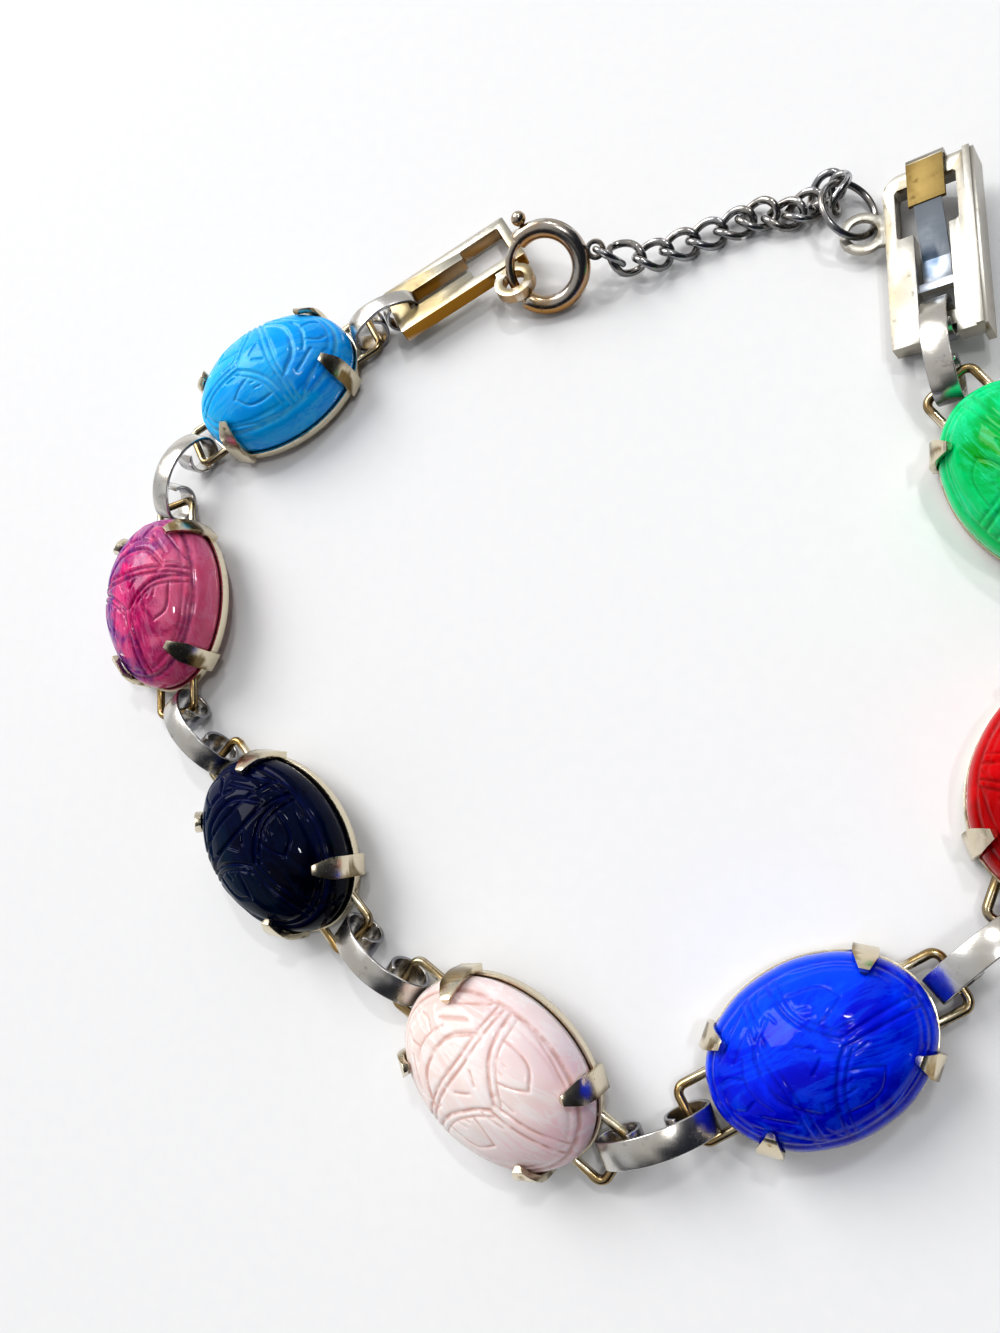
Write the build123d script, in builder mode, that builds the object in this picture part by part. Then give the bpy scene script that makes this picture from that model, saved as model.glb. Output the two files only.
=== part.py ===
from build123d import *
import os
from math import atan2, cos, degrees, hypot, radians, sin, sqrt

os.makedirs("parts", exist_ok=True)

# Carved stone: an oval cabochon with a bevelled back, carved as a scarab on its domed side
stone_length = 14.0
stone_width = 10.2
dome_height = 4.1
girdle_level = 1.07
back_inset = 0.4
groove_depth = 0.28
groove_width = 0.3
dome_seam = 25

# Setting: open-backed oval ring under the stone, measured from the mid-plane of its end loops
ring_bottom = -0.35
ring_thickness = 0.45
ring_overhang = 0.12
ring_band = 1.5
lip_height = 0.2
lip_width = 0.2
stone_clearance = 0.1

# Claw prongs
prong_station = 41.8
prong_width = 1.5
prong_tip_width = 0.56
prong_thickness = 0.42
prong_gap = 0.08
prong_curl = 40.0
prong_foot = 0.6

# End loops of a setting
loop_wire = 0.6
loop_reach = 1.9
loop_spread = 3.5
loop_corner = 0.6
loop_root = 0.6

# Strap links: a bent strip with a curl round the loop at each end
strip_thickness = 0.25
strip_width = 1.7
curl_inside = 1.26
curl_finish = 420
strap_pitch = 4.5
short_strap_pitch = 3.1
bridge_radius = 4.5
short_strip_width = 1.3

# Catch plate
catch_length = 11.3
catch_width = 5.15
catch_thickness = 1.1
catch_bar = 1.5
catch_slot_end = 7.0
catch_window_end = 10.5
catch_far_arm = 1.67
catch_near_arm = 1.72
catch_window_rim = 0.82
catch_corner = 0.2
catch_lug_along = 9.5
catch_lug_across = 6.78
catch_lug_radius = 1.6
catch_lug_hole = 0.9
catch_lug_thickness = 0.8
catch_lug_neck = 2.0

# Clasp frame
clasp_length = 13.2
clasp_width = 6.0
clasp_thickness = 1.3
clasp_foot = 0.6
clasp_bar = 1.0
clasp_slot_width = 2.3
clasp_slot_end = 8.15
clasp_window_end = 12.0
clasp_window_left = 0.76
clasp_window_right = 1.2
clasp_corner = 1.2
clasp_inner_corner = 0.3
clasp_rib_width = 0.45
clasp_rib_height = 0.3
clasp_rib_inset = 0.2
clasp_skirt_depth = 1.0
clasp_skirt_width = 0.5
clasp_eyelet_along = 9.55
clasp_eyelet_reach = 1.57
clasp_eyelet_rise = 0.25
clasp_eyelet_radius = 1.57
clasp_eyelet_hole = 1.0
clasp_eyelet_thickness = 0.4
clasp_eyelet_neck = 2.4

# Hook strip of the clasp frame
hook_thickness = 0.3
hook_neck_width = 1.8
hook_head_width = 2.4
hook_root = 4.0
hook_root_bar = 0.6
hook_climb_start = 6.4
hook_climb_end = 10.4
hook_gap = 0.3
hook_bend = 0.45
hook_tongue = 1.3

# Spring ring and its bolt, as angles round the ring
spring_radius = 2.75
spring_tube = 0.7
spring_bore = 0.42
spring_mouth = 228
spring_sweep = 260
spring_slot_start = 42
spring_slot_sweep = 76
spring_slot_width = 0.5
spring_eye_angle = 8
spring_eye_reach = 1.25
spring_eye_radius = 0.75
spring_eye_hole = 0.4
spring_eye_thickness = 0.3
bolt_clearance = 0.06
bolt_tip = 231
bolt_sweep = 131
lever_angle = 110
lever_stem = 0.19
lever_reach = 1.2
lever_ball = 0.55

# Small rings and the safety chain, each measured to the middle of its wire; pulls are shares of
# the curb link's half sizes
ring_loop_length = 2.44
ring_loop_width = 1.56
ring_loop_wire = 0.48
curb_length = 2.76
curb_width = 2.1
curb_twist = 45
curb_wire = 0.52
curb_end_pull = 0.66
curb_shoulder_along = 0.51
curb_shoulder_across = 0.74
curb_shoulder_rise = 0.79
curb_side_pull = 1.81
jump_radius = 2.2
jump_wire = 0.5

# Middle of the whole bracelet and the level of the surface that it lies on
middle_x = 6.145
middle_y = 1.447
surface_z = 0.026

# The chain's route: where each piece lies, with its turn, climb and lean in degrees
# piece: (x, y, z, turn, climb, lean)
setting_route = {
    "light_blue": (-18.47, 24.67, 0.93, -152.3, 0.5, 3.7),
    "purple": (-26.97, 6.69, 1.43, -84.6, 0.0, 10.6),
    "black": (-15.84, -12.31, 1.53, -49.0, 0.0, 11.8),
    "pink": (0.84, -26.93, 1.40, -36.1, 0.5, 11.2),
    "cobalt": (20.34, -25.16, 1.10, 28.1, -0.6, -2.7),
    "red": (35.23, -10.00, 1.01, 66.9, -0.8, -6.8),
    "green": (36.10, 8.74, 2.00, 123.2, -0.0, -17.5),
}
strap_route = [
    (-9.14, 29.00, 1.62, -156.4, 0.6, 7.0),
    (-26.82, 17.73, 1.70, -113.1, 0.8, 8.3),
    (-23.60, -3.80, 1.74, -51.5, -0.1, 11.5),
    (-7.97, -20.38, 1.71, -39.9, -0.0, 12.1),
    (10.60, -30.39, 1.94, 19.5, -1.7, 7.3),
    (29.80, -19.51, 1.71, 38.0, -0.7, -9.2),
    (42.29, -1.16, 1.89, 67.5, 0.5, -8.9),
    (31.30, 18.57, 2.17, 90.1, -2.6, -20.0),
]
catch_route = (-3.34, 31.73, 1.37, 26.2, -0.4, -11.7)
clasp_route = (31.50, 25.93, 1.99, 88.0, -0.3, -21.1)
spring_route = (4.5, 30.2, 2.75, 0.0, 0.0, 45.0)
ring_loop_route = (9.36, 30.24, 2.45, -14.9, -44.3, 120.5)
curb_route = [
    (10.48, 30.38, 1.74, -19.1, -29.8, 20.7),
    (12.49, 30.36, 1.38, 10.5, -18.1, 3.6),
    (14.44, 31.02, 1.00, 17.7, -13.7, 4.6),
    (16.42, 31.60, 0.82, 13.3, -7.0, 1.0),
    (18.49, 32.04, 0.80, 11.0, -1.2, 0.7),
    (20.13, 32.50, 0.79, -1.6, 2.6, 2.4),
    (21.99, 32.06, 0.78, -3.9, 1.3, -1.0),
    (23.39, 32.30, 0.85, 13.0, 6.1, -3.7),
    (24.99, 33.17, 1.00, 40.6, 11.3, -7.6),
    (25.72, 32.32, 1.55, -104.6, -15.0, 73.4),
]
jump_route = (26.36, 30.88, 1.54, 182.2, 34.5, 0.0)


def along_route(x, y, z, turn, climb, lean):
    middle = Pos(x - middle_x, y - middle_y, z - surface_z)
    return middle * Rot(0, 0, turn) * Rot(0, -climb, 0) * Rot(lean, 0, 0)


# Stone shape, head towards -X
half_length = stone_length / 2
half_width = stone_width / 2
ring_top = ring_bottom + ring_thickness
stone_bottom = ring_top + stone_clearance

# The dome's own seam line is turned aside, clear of the grooves
with BuildPart() as dome:
    Sphere(1, rotation=(0, 0, dome_seam))
    scale(by=(half_length, half_width, dome_height))
    split(bisect_by=Plane.XY)

with BuildPart() as dome_core:
    Sphere(1, rotation=(0, 0, dome_seam))
    scale(by=(half_length - groove_depth, half_width - groove_depth, dome_height - groove_depth))

with BuildPart() as carving:
    with BuildSketch():
        Ellipse(half_length * 0.93, half_width * 0.9)
        Ellipse(half_length * 0.93 - groove_width, half_width * 0.9 - groove_width, mode=Mode.SUBTRACT)
    with BuildSketch():
        with BuildLine():
            Line((-half_length * 0.36, -half_width * 0.8), (-half_length * 0.36, half_width * 0.8))
        trace(line_width=groove_width)
    with BuildSketch():
        with BuildLine():
            Line((-half_length * 0.29, -half_width * 0.82), (-half_length * 0.29, half_width * 0.82))
        trace(line_width=groove_width)
    with BuildSketch():
        with BuildLine():
            wing_seam = ThreePointArc(
                (-half_length * 0.27, half_width * 0.8),
                (-half_length * 0.08, half_width * 0.42),
                (0, 0),
            )
        trace(line_width=groove_width)
        mirror(about=Plane.XZ)
    with BuildSketch():
        with BuildLine():
            Line((0, 0), (half_length * 0.9, 0))
        trace(line_width=groove_width)
    with BuildSketch():
        with BuildLine():
            ThreePointArc(
                (-half_length * 0.5, -half_width * 0.6),
                (-half_length * 0.72, 0),
                (-half_length * 0.5, half_width * 0.6),
            )
        trace(line_width=groove_width)
    extrude(amount=dome_height)
    add(dome_core.part, mode=Mode.SUBTRACT)

with BuildPart() as stone_shape:
    with Locations((0, 0, girdle_level)):
        add(dome.part)
        add(carving.part, mode=Mode.SUBTRACT)
    with BuildSketch(Plane.XY.offset(stone_bottom)):
        Ellipse(half_length - back_inset, half_width - back_inset)
    with BuildSketch(Plane.XY.offset(girdle_level)):
        Ellipse(half_length, half_width)
    loft()

# Prong: it stands square to the stone's edge and follows the dome's own section there
edge_x = half_length * cos(radians(prong_station))
edge_y = half_width * sin(radians(prong_station))
slope_x = edge_x / half_length**2
slope_y = edge_y / half_width**2
outward_x = slope_x / hypot(slope_x, slope_y)
outward_y = slope_y / hypot(slope_x, slope_y)
section_fall = outward_x * slope_x + outward_y * slope_y
section_bend = (outward_x / half_length) ** 2 + (outward_y / half_width) ** 2
section_half = section_fall / section_bend
section_height = dome_height * section_fall / sqrt(section_bend)
prong_plane = Plane(
    origin=(edge_x, edge_y, girdle_level),
    x_dir=(outward_x, outward_y, 0),
    z_dir=(outward_y, -outward_x, 0),
)
prong_top_plane = Plane(origin=(edge_x, edge_y, ring_bottom), x_dir=(outward_x, outward_y, 0), z_dir=(0, 0, 1))
inner_half = section_half + prong_gap
inner_height = section_height + prong_gap
outer_half = inner_half + prong_thickness
outer_height = inner_height + prong_thickness
foot_bottom = ring_bottom - girdle_level
foot_top = ring_top - girdle_level
prong_tip_x = inner_half * cos(radians(prong_curl)) - section_half
prong_tip_half = prong_tip_width / 2

with BuildPart() as prong:
    with BuildSketch(prong_plane):
        with BuildLine():
            inner_edge = EllipticalCenterArc((-section_half, 0), inner_half, inner_height, 0, arc_size=prong_curl)
            outer_edge = EllipticalCenterArc((-section_half, 0), outer_half, outer_height, 0, arc_size=prong_curl)
            Line(inner_edge @ 1, outer_edge @ 1)
            Polyline(
                inner_edge @ 0,
                (prong_gap, foot_top),
                (-prong_foot, foot_top),
                (-prong_foot, foot_bottom),
                (prong_gap + prong_thickness, foot_bottom),
                outer_edge @ 0,
            )
        make_face()
    extrude(amount=prong_width / 2, both=True)
    with BuildSketch(prong_top_plane):
        with BuildLine():
            Polyline(
                (prong_tip_x + prong_tip_half, prong_tip_half),
                (0, prong_width / 2),
                (prong_gap + prong_thickness, prong_width / 2),
                (prong_gap + prong_thickness, -prong_width / 2),
                (0, -prong_width / 2),
                (prong_tip_x + prong_tip_half, -prong_tip_half),
            )
            ThreePointArc(
                (prong_tip_x + prong_tip_half, -prong_tip_half),
                (prong_tip_x, 0),
                (prong_tip_x + prong_tip_half, prong_tip_half),
            )
        make_face()
    extrude(amount=dome_height + girdle_level - ring_bottom, mode=Mode.INTERSECT)

# Setting shape: ring, lip, four prongs and two end loops soldered together
ring_half_length = half_length + ring_overhang
ring_half_width = half_width + ring_overhang
loop_bar = half_length + loop_reach
loop_start = loop_bar - loop_reach - loop_root

with BuildPart() as end_loop:
    with BuildLine():
        FilletPolyline(
            (loop_start, -loop_spread / 2),
            (loop_bar, -loop_spread / 2),
            (loop_bar, loop_spread / 2),
            (loop_start, loop_spread / 2),
            radius=loop_corner,
        )
    with BuildSketch(Plane(origin=(loop_start, -loop_spread / 2, 0), z_dir=(1, 0, 0))):
        Circle(loop_wire / 2)
    sweep()

with BuildPart() as setting_shape:
    with BuildSketch(Plane.XY.offset(ring_bottom)):
        Ellipse(ring_half_length, ring_half_width)
        Ellipse(ring_half_length - ring_band, ring_half_width - ring_band, mode=Mode.SUBTRACT)
    extrude(amount=ring_thickness)
    with BuildSketch(Plane.XY.offset(ring_top)):
        Ellipse(ring_half_length, ring_half_width)
        Ellipse(ring_half_length - lip_width, ring_half_width - lip_width, mode=Mode.SUBTRACT)
    extrude(amount=lip_height)
    add(prong.part)
    add(end_loop.part)
    mirror(prong.part, about=Plane.XZ)
    mirror(about=Plane.YZ)

for name, route in setting_route.items():
    with BuildPart() as stone:
        with Locations(along_route(*route)):
            add(stone_shape.part)
    stone.part.label = f"stone_{name}"
    export_step(stone.part, f"parts/stone_{name}.step")
    with BuildPart() as setting:
        with Locations(along_route(*route)):
            add(setting_shape.part)
    setting.part.label = f"setting_{name}"
    export_step(setting.part, f"parts/setting_{name}.step")


# Strap link: bridge arc between two curls, the strip's arcs meeting tangentially
def strap_strip(pitch, start_width, end_width):
    curl_middle = curl_inside + strip_thickness / 2
    curl_outside = curl_inside + strip_thickness
    half_pitch = pitch / 2
    bridge_drop = sqrt((bridge_radius - curl_middle) ** 2 - half_pitch**2)
    meeting = degrees(atan2(bridge_drop, -half_pitch))
    curl_arc = curl_finish - meeting
    bridge_outside = bridge_radius + strip_thickness / 2
    bridge_inside = bridge_radius - strip_thickness / 2
    reach = half_pitch + curl_outside
    with BuildPart() as strip:
        with BuildSketch(Plane.XZ):
            with BuildLine():
                CenterArc((0, -bridge_drop), bridge_outside, 180 - meeting, 2 * meeting - 180)
                CenterArc((0, -bridge_drop), bridge_inside, 180 - meeting, 2 * meeting - 180)
                left_outside = CenterArc((-half_pitch, 0), curl_outside, meeting, curl_arc)
                left_inside = CenterArc((-half_pitch, 0), curl_inside, meeting, curl_arc)
                right_outside = CenterArc((half_pitch, 0), curl_outside, 180 - meeting, -curl_arc)
                right_inside = CenterArc((half_pitch, 0), curl_inside, 180 - meeting, -curl_arc)
                Line(left_outside @ 1, left_inside @ 1)
                Line(right_outside @ 1, right_inside @ 1)
            make_face()
        extrude(amount=max(start_width, end_width) / 2, both=True)
        with BuildSketch(Plane.XY.offset(-curl_outside)):
            with BuildLine():
                Polyline(
                    (-reach, start_width / 2),
                    (0, start_width / 2),
                    (half_pitch, end_width / 2),
                    (reach, end_width / 2),
                    (reach, -end_width / 2),
                    (half_pitch, -end_width / 2),
                    (0, -start_width / 2),
                    (-reach, -start_width / 2),
                    close=True,
                )
            make_face()
        extrude(amount=bridge_radius + curl_outside, mode=Mode.INTERSECT)
    return strip.part


short_strap = strap_strip(short_strap_pitch, short_strip_width, strip_width)
long_strap = strap_strip(strap_pitch, strip_width, strip_width)

for number, route in enumerate(strap_route, start=1):
    with BuildPart() as strap_link:
        with Locations(along_route(*route)):
            add(short_strap if number == 1 else long_strap)
    strap_link.part.label = f"strap_link_{number}"
    export_step(strap_link.part, f"parts/strap_link_{number}.step")

# Catch plate, its bar end at -X
catch_start = -catch_length / 2
catch_far_edge = catch_width / 2
catch_slot_width = catch_width - catch_far_arm - catch_near_arm
catch_slot_middle = catch_far_edge - catch_far_arm - catch_slot_width / 2
catch_slot_length = catch_window_end - catch_bar
catch_window_length = catch_window_end - catch_slot_end
catch_lug_x = catch_start + catch_lug_along
catch_lug_y = catch_far_edge - catch_lug_across
catch_neck_length = catch_lug_across - catch_width + catch_near_arm / 2

with BuildPart() as catch_shape:
    with BuildSketch(Plane.XY.offset(-catch_thickness / 2)):
        RectangleRounded(catch_length, catch_width, catch_corner)
        with Locations((catch_start + catch_bar + catch_slot_length / 2, catch_slot_middle)):
            Rectangle(catch_slot_length, catch_slot_width, mode=Mode.SUBTRACT)
        with Locations((catch_start + catch_slot_end + catch_window_length / 2, 0)):
            RectangleRounded(
                catch_window_length,
                catch_width - 2 * catch_window_rim,
                catch_corner,
                mode=Mode.SUBTRACT,
            )
    extrude(amount=catch_thickness)
    with BuildSketch(Plane.XY.offset(-catch_lug_thickness / 2)):
        with Locations((catch_lug_x, catch_lug_y)):
            Circle(catch_lug_radius)
        with Locations((catch_lug_x, catch_lug_y)):
            Rectangle(catch_lug_neck, catch_neck_length, align=(Align.CENTER, Align.MIN))
        with Locations((catch_start + catch_slot_end + catch_window_length / 2, 0)):
            Rectangle(catch_window_length, catch_width - 2 * catch_window_rim, mode=Mode.SUBTRACT)
    extrude(amount=catch_lug_thickness)
    with BuildSketch(Plane.XY.offset(-catch_thickness / 2)):
        with Locations((catch_lug_x, catch_lug_y)):
            Circle(catch_lug_hole)
    extrude(amount=catch_thickness, mode=Mode.SUBTRACT)

with BuildPart() as catch_plate:
    with Locations(along_route(*catch_route)):
        add(catch_shape.part)
catch_plate.part.label = "catch_plate"
export_step(catch_plate.part, "parts/catch_plate.step")

# Clasp frame, its feet at -X and its hook end at +X
clasp_start = -clasp_length / 2
clasp_bottom = -clasp_thickness / 2
clasp_top = clasp_thickness / 2
clasp_left = clasp_width / 2
clasp_slot_start = clasp_foot + clasp_bar
clasp_slot_length = clasp_window_end - clasp_slot_start
clasp_window_length = clasp_window_end - clasp_slot_end
clasp_window_width = clasp_width - clasp_window_left - clasp_window_right
clasp_window_middle = (clasp_window_right - clasp_window_left) / 2
clasp_lean = radians(clasp_route[5])
eyelet_x = clasp_start + clasp_eyelet_along
eyelet_plane = Plane(
    origin=(eyelet_x, clasp_left, clasp_eyelet_rise),
    x_dir=(1, 0, 0),
    z_dir=(0, sin(clasp_lean), cos(clasp_lean)),
)
hook_level = clasp_top + hook_gap + hook_thickness / 2
hook_base = clasp_bottom + hook_thickness
hook_end = clasp_start + clasp_length + hook_gap + hook_thickness / 2

with BuildPart() as clasp_shape:
    with BuildSketch(Plane.XY.offset(clasp_bottom)):
        clasp_outline = Rectangle(clasp_length, clasp_width)
        fillet(clasp_outline.vertices().group_by(Axis.X)[-1].sort_by(Axis.Y)[-1], clasp_corner)
        with Locations((clasp_start, 0)):
            Rectangle(
                clasp_foot,
                clasp_slot_width,
                align=(Align.MIN, Align.CENTER),
                mode=Mode.SUBTRACT,
            )
        with Locations((clasp_start + clasp_slot_start + clasp_slot_length / 2, 0)):
            Rectangle(clasp_slot_length, clasp_slot_width, mode=Mode.SUBTRACT)
        with Locations((clasp_start + clasp_slot_end + clasp_window_length / 2, clasp_window_middle)):
            RectangleRounded(
                clasp_window_length,
                clasp_window_width,
                clasp_inner_corner,
                mode=Mode.SUBTRACT,
            )
    extrude(amount=clasp_thickness)
    with BuildSketch(Plane.XY.offset(clasp_top)):
        with Locations((0, clasp_rib_inset + clasp_rib_width / 2 - clasp_left)):
            Rectangle(clasp_length, clasp_rib_width)
    extrude(amount=clasp_rib_height)
    with BuildSketch(Plane.XY.offset(clasp_bottom)):
        with Locations((0, clasp_skirt_width / 2 - clasp_left)):
            Rectangle(clasp_length, clasp_skirt_width)
    extrude(amount=-clasp_skirt_depth)
    with BuildSketch(eyelet_plane.offset(-clasp_eyelet_thickness / 2)):
        with Locations((0, clasp_eyelet_reach)):
            Circle(clasp_eyelet_radius)
        with Locations((0, -clasp_window_left / 2)):
            Rectangle(
                clasp_eyelet_neck,
                clasp_eyelet_reach,
                align=(Align.CENTER, Align.MIN),
            )
        with Locations((0, clasp_eyelet_reach)):
            Circle(clasp_eyelet_hole, mode=Mode.SUBTRACT)
    extrude(amount=clasp_eyelet_thickness)
    with BuildSketch(Plane.XY.offset(clasp_bottom)):
        with Locations((clasp_start + hook_root, 0)):
            Rectangle(
                hook_root_bar,
                clasp_slot_width + clasp_bar,
                align=(Align.MIN, Align.CENTER),
            )
    extrude(amount=clasp_thickness / 2)
    with BuildSketch(Plane.XZ):
        with BuildLine():
            FilletPolyline(
                (clasp_start + hook_root, hook_base),
                (clasp_start + hook_climb_start, hook_base),
                (clasp_start + hook_climb_end, hook_level),
                (hook_end, hook_level),
                (hook_end, hook_level - hook_tongue),
                radius=hook_bend,
            )
        trace(line_width=hook_thickness)
    extrude(amount=hook_neck_width / 2, both=True)
    with BuildSketch(Plane.XZ):
        with BuildLine():
            FilletPolyline(
                (clasp_start + hook_climb_end - hook_bend, hook_level),
                (hook_end, hook_level),
                (hook_end, hook_level - hook_tongue),
                radius=hook_bend,
            )
        trace(line_width=hook_thickness)
    extrude(amount=hook_head_width / 2, both=True)

with BuildPart() as clasp_frame:
    with Locations(along_route(*clasp_route)):
        add(clasp_shape.part)
clasp_frame.part.label = "clasp_frame"
export_step(clasp_frame.part, "parts/clasp_frame.step")


# Spring ring: a bored tube with a slot for the lever and an eye, and the bolt that slides in it
def ring_section(angle):
    turn = radians(angle)
    return Plane(origin=(0, 0, 0), x_dir=(cos(turn), sin(turn), 0), z_dir=(sin(turn), -cos(turn), 0))


with BuildPart() as spring_shape:
    with BuildSketch(ring_section(spring_mouth)):
        with Locations((spring_radius, 0)):
            Circle(spring_tube)
    revolve(axis=Axis.Z, revolution_arc=spring_sweep)
    with BuildSketch(Plane.XY.offset(-spring_eye_thickness / 2)):
        with PolarLocations(spring_radius + spring_eye_reach, 1, start_angle=spring_eye_angle):
            Circle(spring_eye_radius)
            Circle(spring_eye_hole, mode=Mode.SUBTRACT)
    extrude(amount=spring_eye_thickness)
    with BuildSketch(ring_section(spring_mouth)):
        with Locations((spring_radius, 0)):
            Circle(spring_bore)
    revolve(axis=Axis.Z, revolution_arc=spring_sweep, mode=Mode.SUBTRACT)
    with BuildSketch(ring_section(spring_slot_start)):
        with Locations((spring_radius, 0)):
            Rectangle(2 * spring_tube, spring_slot_width, align=(Align.MIN, Align.CENTER))
    revolve(axis=Axis.Z, revolution_arc=spring_slot_sweep, mode=Mode.SUBTRACT)

with BuildPart() as spring_ring:
    with Locations(along_route(*spring_route)):
        add(spring_shape.part)
spring_ring.part.label = "spring_ring"
export_step(spring_ring.part, "parts/spring_ring.step")

with BuildPart() as bolt_shape:
    with BuildSketch(ring_section(bolt_tip - bolt_sweep)):
        with Locations((spring_radius, 0)):
            Circle(spring_bore - bolt_clearance)
    revolve(axis=Axis.Z, revolution_arc=bolt_sweep)
    lever_turn = radians(lever_angle)
    lever_plane = Plane(
        origin=(spring_radius * cos(lever_turn), spring_radius * sin(lever_turn), 0),
        z_dir=(cos(lever_turn), sin(lever_turn), 0),
    )
    with BuildSketch(lever_plane):
        Circle(lever_stem)
    extrude(amount=lever_reach)
    with PolarLocations(spring_radius + lever_reach, 1, start_angle=lever_angle):
        Sphere(lever_ball)

with BuildPart() as spring_bolt:
    with Locations(along_route(*spring_route)):
        add(bolt_shape.part)
spring_bolt.part.label = "spring_bolt"
export_step(spring_bolt.part, "parts/spring_bolt.step")

# Loop of wire that joins the spring ring's eye to the chain
with BuildPart() as small_loop:
    with BuildLine():
        loop_path = EllipticalCenterArc((0, 0), ring_loop_length / 2, ring_loop_width / 2, 0, arc_size=360)
    with BuildSketch(Plane(origin=loop_path @ 0, z_dir=loop_path % 0)):
        Circle(ring_loop_wire / 2)
    sweep()

with BuildPart() as ring_loop:
    with Locations(along_route(*ring_loop_route)):
        add(small_loop.part)
ring_loop.part.label = "ring_loop"
export_step(ring_loop.part, "parts/ring_loop.step")

# Curb link: an oval of wire whose two ends are twisted opposite ways, as two equal halves,
# each half one smooth curve drawn out by pull points at its ends, shoulders and side
curb_end = curb_length / 2
curb_side = curb_width / 2
curb_end_y = curb_end_pull * curb_side * cos(radians(curb_twist))
curb_end_z = curb_end_pull * curb_side * sin(radians(curb_twist))
curb_shoulder_x = curb_shoulder_along * curb_end
curb_shoulder_y = curb_shoulder_across * curb_side
curb_shoulder_z = curb_shoulder_rise * curb_side

with BuildPart() as curb_half:
    with BuildLine():
        curb_path = Bezier(
            (curb_end, 0, 0),
            (curb_end, curb_end_y, curb_end_z),
            (curb_shoulder_x, curb_shoulder_y, curb_shoulder_z),
            (0, curb_side_pull * curb_side, 0),
            (-curb_shoulder_x, curb_shoulder_y, -curb_shoulder_z),
            (-curb_end, curb_end_y, -curb_end_z),
            (-curb_end, 0, 0),
        )
    with BuildSketch(Plane(origin=curb_path @ 0, z_dir=curb_path % 0)):
        Circle(curb_wire / 2)
    sweep()

with BuildPart() as curb_shape:
    add(curb_half.part)
    add(curb_half.part, rotation=(180, 0, 0))

for number, route in enumerate(curb_route, start=1):
    with BuildPart() as chain_link:
        with Locations(along_route(*route)):
            add(curb_shape.part)
    chain_link.part.label = f"chain_link_{number}"
    export_step(chain_link.part, f"parts/chain_link_{number}.step")

with BuildPart() as jump_ring:
    with Locations(along_route(*jump_route)):
        Torus(jump_radius, jump_wire / 2)
jump_ring.part.label = "jump_ring"
export_step(jump_ring.part, "parts/jump_ring.step")
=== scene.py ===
from math import pi, radians

import bmesh
import bpy
import numpy as np
from mathutils import Matrix, Vector


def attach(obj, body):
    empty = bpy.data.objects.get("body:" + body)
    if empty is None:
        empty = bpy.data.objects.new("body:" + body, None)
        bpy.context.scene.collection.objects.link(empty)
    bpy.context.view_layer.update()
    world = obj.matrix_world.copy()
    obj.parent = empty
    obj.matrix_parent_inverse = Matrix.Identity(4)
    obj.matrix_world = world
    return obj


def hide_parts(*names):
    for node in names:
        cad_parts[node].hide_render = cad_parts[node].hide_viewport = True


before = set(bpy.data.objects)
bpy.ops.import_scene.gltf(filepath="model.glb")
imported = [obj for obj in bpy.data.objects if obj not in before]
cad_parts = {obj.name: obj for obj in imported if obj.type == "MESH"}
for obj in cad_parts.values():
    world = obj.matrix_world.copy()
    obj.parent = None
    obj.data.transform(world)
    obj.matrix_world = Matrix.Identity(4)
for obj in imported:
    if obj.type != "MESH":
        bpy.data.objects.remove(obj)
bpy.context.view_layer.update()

MM = 0.001

# Camera: where it stands, where it looks, and its upright, in mm
CAMERA_PLACE = (15.358, -18.564, 67.119)
CAMERA_TARGET = (-6.145, -1.447, -0.026)
CAMERA_UP = (0.0720, 0.9719, 0.2248)
CAMERA_LENS = 17.995
CAMERA_LONG_SIDE = 24.0

# The bracelet's middle in the route's own numbers, in mm
ROUTE_MIDDLE = Vector((6.145, 1.447, 0.026))

# Where each stone lies: (x, y, z, turn, climb, lean), in mm and degrees
STONE_ROUTE = {
    "light_blue": (-18.47, 24.67, 0.93, -152.3, 0.5, 3.7),
    "purple": (-26.97, 6.69, 1.43, -84.6, 0.0, 10.6),
    "black": (-15.84, -12.31, 1.53, -49.0, 0.0, 11.8),
    "pink": (0.84, -26.93, 1.40, -36.1, 0.5, 11.2),
    "cobalt": (20.34, -25.16, 1.10, 28.1, -0.6, -2.7),
    "red": (35.23, -10.00, 1.01, 66.9, -0.8, -6.8),
    "green": (36.10, 8.74, 2.00, 123.2, -0.0, -17.5),
}

# Stone form, in mm
STONE_HALF_LENGTH = 7.0
STONE_HALF_WIDTH = 5.1
DOME_HEIGHT = 4.1
GIRDLE_LEVEL = 1.07
STONE_BOTTOM = 0.20
BACK_INSET = 0.2
GIRDLE_SHARE = 0.64
BACK_EDGE_SHARE = 0.67
STONE_FINENESS = 7

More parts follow.
